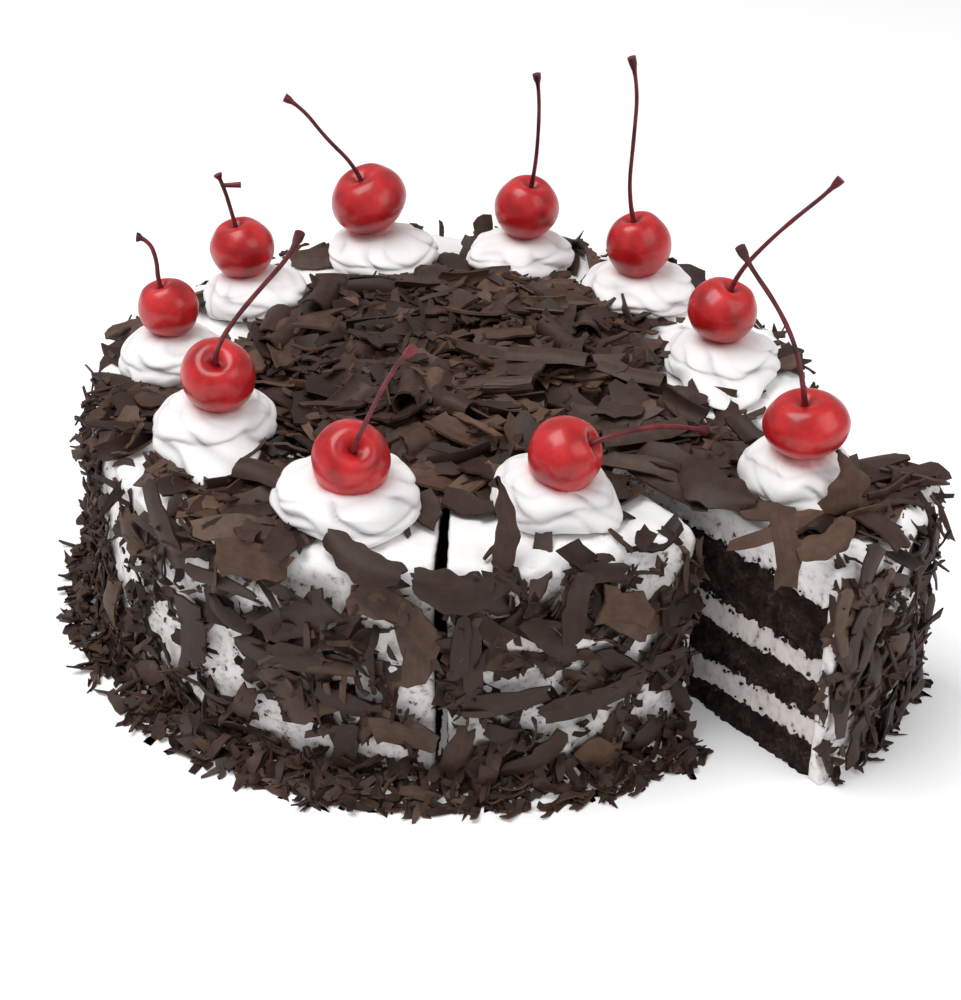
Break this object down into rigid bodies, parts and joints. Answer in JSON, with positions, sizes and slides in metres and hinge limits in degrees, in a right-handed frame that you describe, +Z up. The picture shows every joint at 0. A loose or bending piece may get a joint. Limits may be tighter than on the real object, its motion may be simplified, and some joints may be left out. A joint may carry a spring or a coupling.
{
  "type": "black forest cake",
  "caption": "Round layer cake with cream, chocolate shavings and stemmed cherries on piped rosettes, cut, with one portion drawn out.",
  "frame": {"origin": "middle of the whole round cake's base, on the face it rests on", "axes": "+Z up; -Y to the cake's front, where the knife cut between the main cake and the first portion is; +X to the right seen from the front, the side the second portion is drawn towards"},
  "size_m": [0.2929, 0.271, 0.17],
  "materials": {
    "dark_sponge": "very dark cocoa sponge, crumbly and matt, with open pores on the cut faces",
    "cream_filling": "cream between the sponges, smeared by the knife and flecked with crumbs",
    "whipped_cream": "white whipped cream, soft sheen, light passes a little way into it",
    "dark_chocolate": "dark chocolate shavings, satin, grey-brown where light grazes them",
    "glazed_cherry": "bright red candied cherry with a wet, soft gloss",
    "cherry_stem": "thin dark red-brown stalk with a knob at its end"
  },
  "bodies": {
    "root": {"sponge_bottom_main": "dark_sponge", "cream_lower_main": "cream_filling", "sponge_middle_main": "dark_sponge", "cream_upper_main": "cream_filling", "sponge_top_main": "dark_sponge", "frosting_main": "whipped_cream", "shavings_side_main": "dark_chocolate", "shavings_top_main": "dark_chocolate", "sponge_bottom_front": "dark_sponge", "cream_lower_front": "cream_filling", "sponge_middle_front": "dark_sponge", "cream_upper_front": "cream_filling", "sponge_top_front": "dark_sponge", "frosting_front": "whipped_cream", "shavings_side_front": "dark_chocolate", "shavings_top_front": "dark_chocolate", "sponge_bottom_drawn": "dark_sponge", "cream_lower_drawn": "cream_filling", "sponge_middle_drawn": "dark_sponge", "cream_upper_drawn": "cream_filling", "sponge_top_drawn": "dark_sponge", "frosting_drawn": "whipped_cream", "shavings_side_drawn": "dark_chocolate", "shavings_top_drawn": "dark_chocolate", "rosette_1": "whipped_cream", "cherry_1": "glazed_cherry", "stem_1": "cherry_stem", "rosette_2": "whipped_cream", "cherry_2": "glazed_cherry", "stem_2": "cherry_stem", "rosette_3": "whipped_cream", "cherry_3": "glazed_cherry", "stem_3": "cherry_stem", "rosette_4": "whipped_cream", "cherry_4": "glazed_cherry", "stem_4": "cherry_stem", "rosette_5": "whipped_cream", "cherry_5": "glazed_cherry", "stem_5": "cherry_stem", "rosette_6": "whipped_cream", "cherry_6": "glazed_cherry", "stem_6": "cherry_stem", "rosette_7": "whipped_cream", "cherry_7": "glazed_cherry", "stem_7": "cherry_stem", "rosette_8": "whipped_cream", "cherry_8": "glazed_cherry", "stem_8": "cherry_stem", "rosette_9": "whipped_cream", "cherry_9": "glazed_cherry", "stem_9": "cherry_stem", "rosette_10": "whipped_cream", "cherry_10": "glazed_cherry", "stem_10": "cherry_stem", "plate_rim": "dark_chocolate", "plate_across_cut": "dark_chocolate", "plate_spear": "dark_chocolate", "plate_ledge": "dark_chocolate", "plate_leaf": "dark_chocolate", "plate_inner": "dark_chocolate"}
  },
  "joints": []
}
